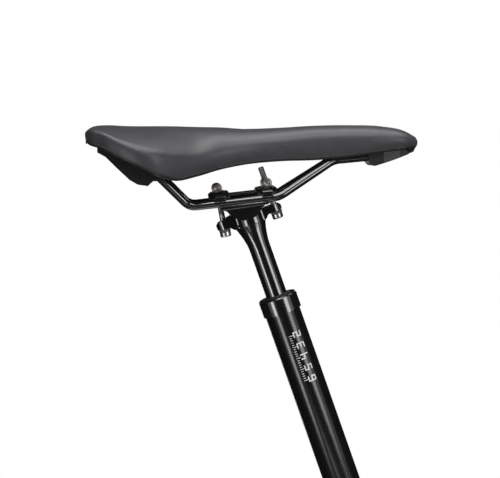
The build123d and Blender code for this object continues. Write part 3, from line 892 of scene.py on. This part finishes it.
# The barrel nuts' ends: slightly domed, with a turned centre
nut_end_outline = (
    # beyond the nut's end, radius
    (-0.7, 4.3), (-0.6, 4.46), (-0.2, 4.4), (0.15, 4.1), (0.35, 3.5),
    (0.45, 2.6), (0.46, 1.9), (0.2, 1.6), (0.1, 0.9), (0.05, 0.1),
)


def add_bolt(name, end):
    """A clamp bolt and the two ends of its barrel nut, at the rear or the front end."""
    pivot = post_forward * (end * pivot_offset) + post_up * pivot_height
    nut = clamp_centre + rail_forward * (end * nut_spacing / 2) + rail_up * nut_height
    bolt = turned(
        f"{name}_threaded_bolt", pivot, (nut - pivot).normalized(), bolt_rings(),
        "polished_steel", f"{name}_screw",
    )
    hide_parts(f"{name}_bolt")
    end_rings = [(nut_length / 2 + beyond, radius) for beyond, radius in nut_end_outline]
    for side, word in ((-1, "right"), (1, "left")):
        turned(
            f"{name}_nut_{word}_end", nut, Vector((0, side, 0)), end_rings,
            "polished_steel", f"{name}_nut", "nut_steel",
        )


add_bolt("rear", -1)
add_bolt("front", 1)

# The main spring's coils, in two pieces that ride on no body: the lower turns, which in the post close up
# as the preload plug rises, and the others, which close up as the shaft sinks
spring_wire = 3.4
spring_coil_radius = 10.0
spring_turns = 18
lower_turns = 4
turn_steps = 28
wire_columns = 10


def add_coils(name, first_turn, last_turn):
    """Some turns of the spring, as a piece that rides on no body."""
    heights = [v.co.dot(post_up) / MM for v in nodes["main_spring"].data.vertices]
    low = min(heights) + spring_wire / 2
    pitch = (max(heights) - spring_wire / 2 - low) / spring_turns
    rings = (last_turn - first_turn) * turn_steps + 1
    vertices = []
    for turn in np.linspace(first_turn, last_turn, rings):
        angle = tau * turn
        outward = post_forward * cos(angle) + leftward * sin(angle)
        ahead = leftward * cos(angle) - post_forward * sin(angle)
        ahead = (ahead * tau * spring_coil_radius + post_up * pitch).normalized()
        across = ahead.cross(outward)
        centre = post_up * (low + pitch * turn) + outward * spring_coil_radius
        for k in range(wire_columns):
            a = tau * k / wire_columns
            vertices.append((centre + (outward * cos(a) + across * sin(a)) * spring_wire / 2) * MM)
    faces = tube_faces(rings, wire_columns)
    coils = new_piece(name, vertices, faces, "spring_steel", None)
    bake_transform(coils)
    return coils


add_coils("lower_coils", 0, lower_turns)
upper_coils = add_coils("upper_coils", lower_turns, spring_turns)
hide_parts("main_spring")

# A printed depth scale on the tube: ticks every 2 mm and plain numbers every 10 mm
scale_angle = radians(13)  # round the tube from the side that the photo shows
scale_top = -20.0
first_number = 2
number_count = 5
tick_step = 2.0
ticks_to_number = 5
tick_place = -5.6  # round the tube from the scale's line, as is the digits' place
long_tick, short_tick = 3.0, 1.5
tick_stroke = 0.5
digit_place = 4.4
digit_width = 3.8  # along the tube
digit_height = 6.0  # round the tube
digit_stroke = 0.95
ink_height = 0.04
ink_root = -0.02  # where the ink starts, just inside the tube
stroke_step = 0.7  # the longest piece of a stroke, so that it follows the tube's curve
digit_lines = {
    # points across and up a digit that is 1 wide and 2 high
    2: (((0, 2), (1, 2), (1, 1), (0, 1), (0, 0), (1, 0)),),
    3: (((0, 2), (1, 2), (1, 0), (0, 0)), ((0.2, 1), (1, 1))),
    4: (((0, 2), (0, 1), (1, 1)), ((1, 2), (1, 0))),
    5: (((1, 2), (0, 2), (0, 1), (1, 1), (1, 0), (0, 0)),),
    6: (((1, 2), (0, 2), (0, 0), (1, 0), (1, 1), (0, 1)),),
}


def on_tube(round_way, up, lift):
    """A place on the tube: millimetres round it from the scale's line, along it, and off it."""
    angle = scale_angle + round_way / tube_radius
    outward = post_forward * sin(angle) - leftward * cos(angle)
    return (post_up * up + outward * (tube_radius + lift)) * MM


def add_stroke(vertices, faces, a, b, width):
    """A bar of ink from a to b, with its vertices and faces added to the lists."""
    a, b = Vector(a), Vector(b)
    half = (b - a).normalized() * width / 2
    side = Vector((-half.y, half.x))
    a, b = a - half, b + half
    pieces = max(1, round((b - a).length / stroke_step))
    first = len(vertices)
    for i in range(pieces + 1):
        middle = a.lerp(b, i / pieces)
        for edge, lift in ((-1, ink_root), (-1, ink_height), (1, ink_height), (1, ink_root)):
            place = middle + side * edge
            vertices.append(on_tube(place.x, place.y, lift))
    for i in range(pieces):
        for j in range(3):
            k = first + 4 * i + j
            faces.append((k, k + 1, k + 5, k + 4))
    for k in (first, first + 4 * pieces):
        faces.append((k, k + 1, k + 2, k + 3))


def digit_point(point, height):
    """A point of a digit that has its middle at a height on the tube, and reads up the tube."""
    across, up = point
    return digit_place - up * digit_height / 2, height + (across - 0.5) * digit_width


def add_scale():
    vertices, faces = [], []
    for i in range((number_count - 1) * ticks_to_number + 1):
        height = scale_top - tick_step * i
        length = short_tick if i % ticks_to_number else long_tick
        ends = (tick_place, height), (tick_place + length, height)
        add_stroke(vertices, faces, *ends, tick_stroke)
    for i in range(number_count):
        height = scale_top - tick_step * ticks_to_number * i
        for line in digit_lines[first_number + i]:
            points = [digit_point(point, height) for point in line]
            for a, b in zip(points, points[1:]):
                add_stroke(vertices, faces, a, b, digit_stroke)
    new_piece("tube_scale", vertices, faces, "acetal", "outer", smooth=False, look="white_ink")


add_scale()
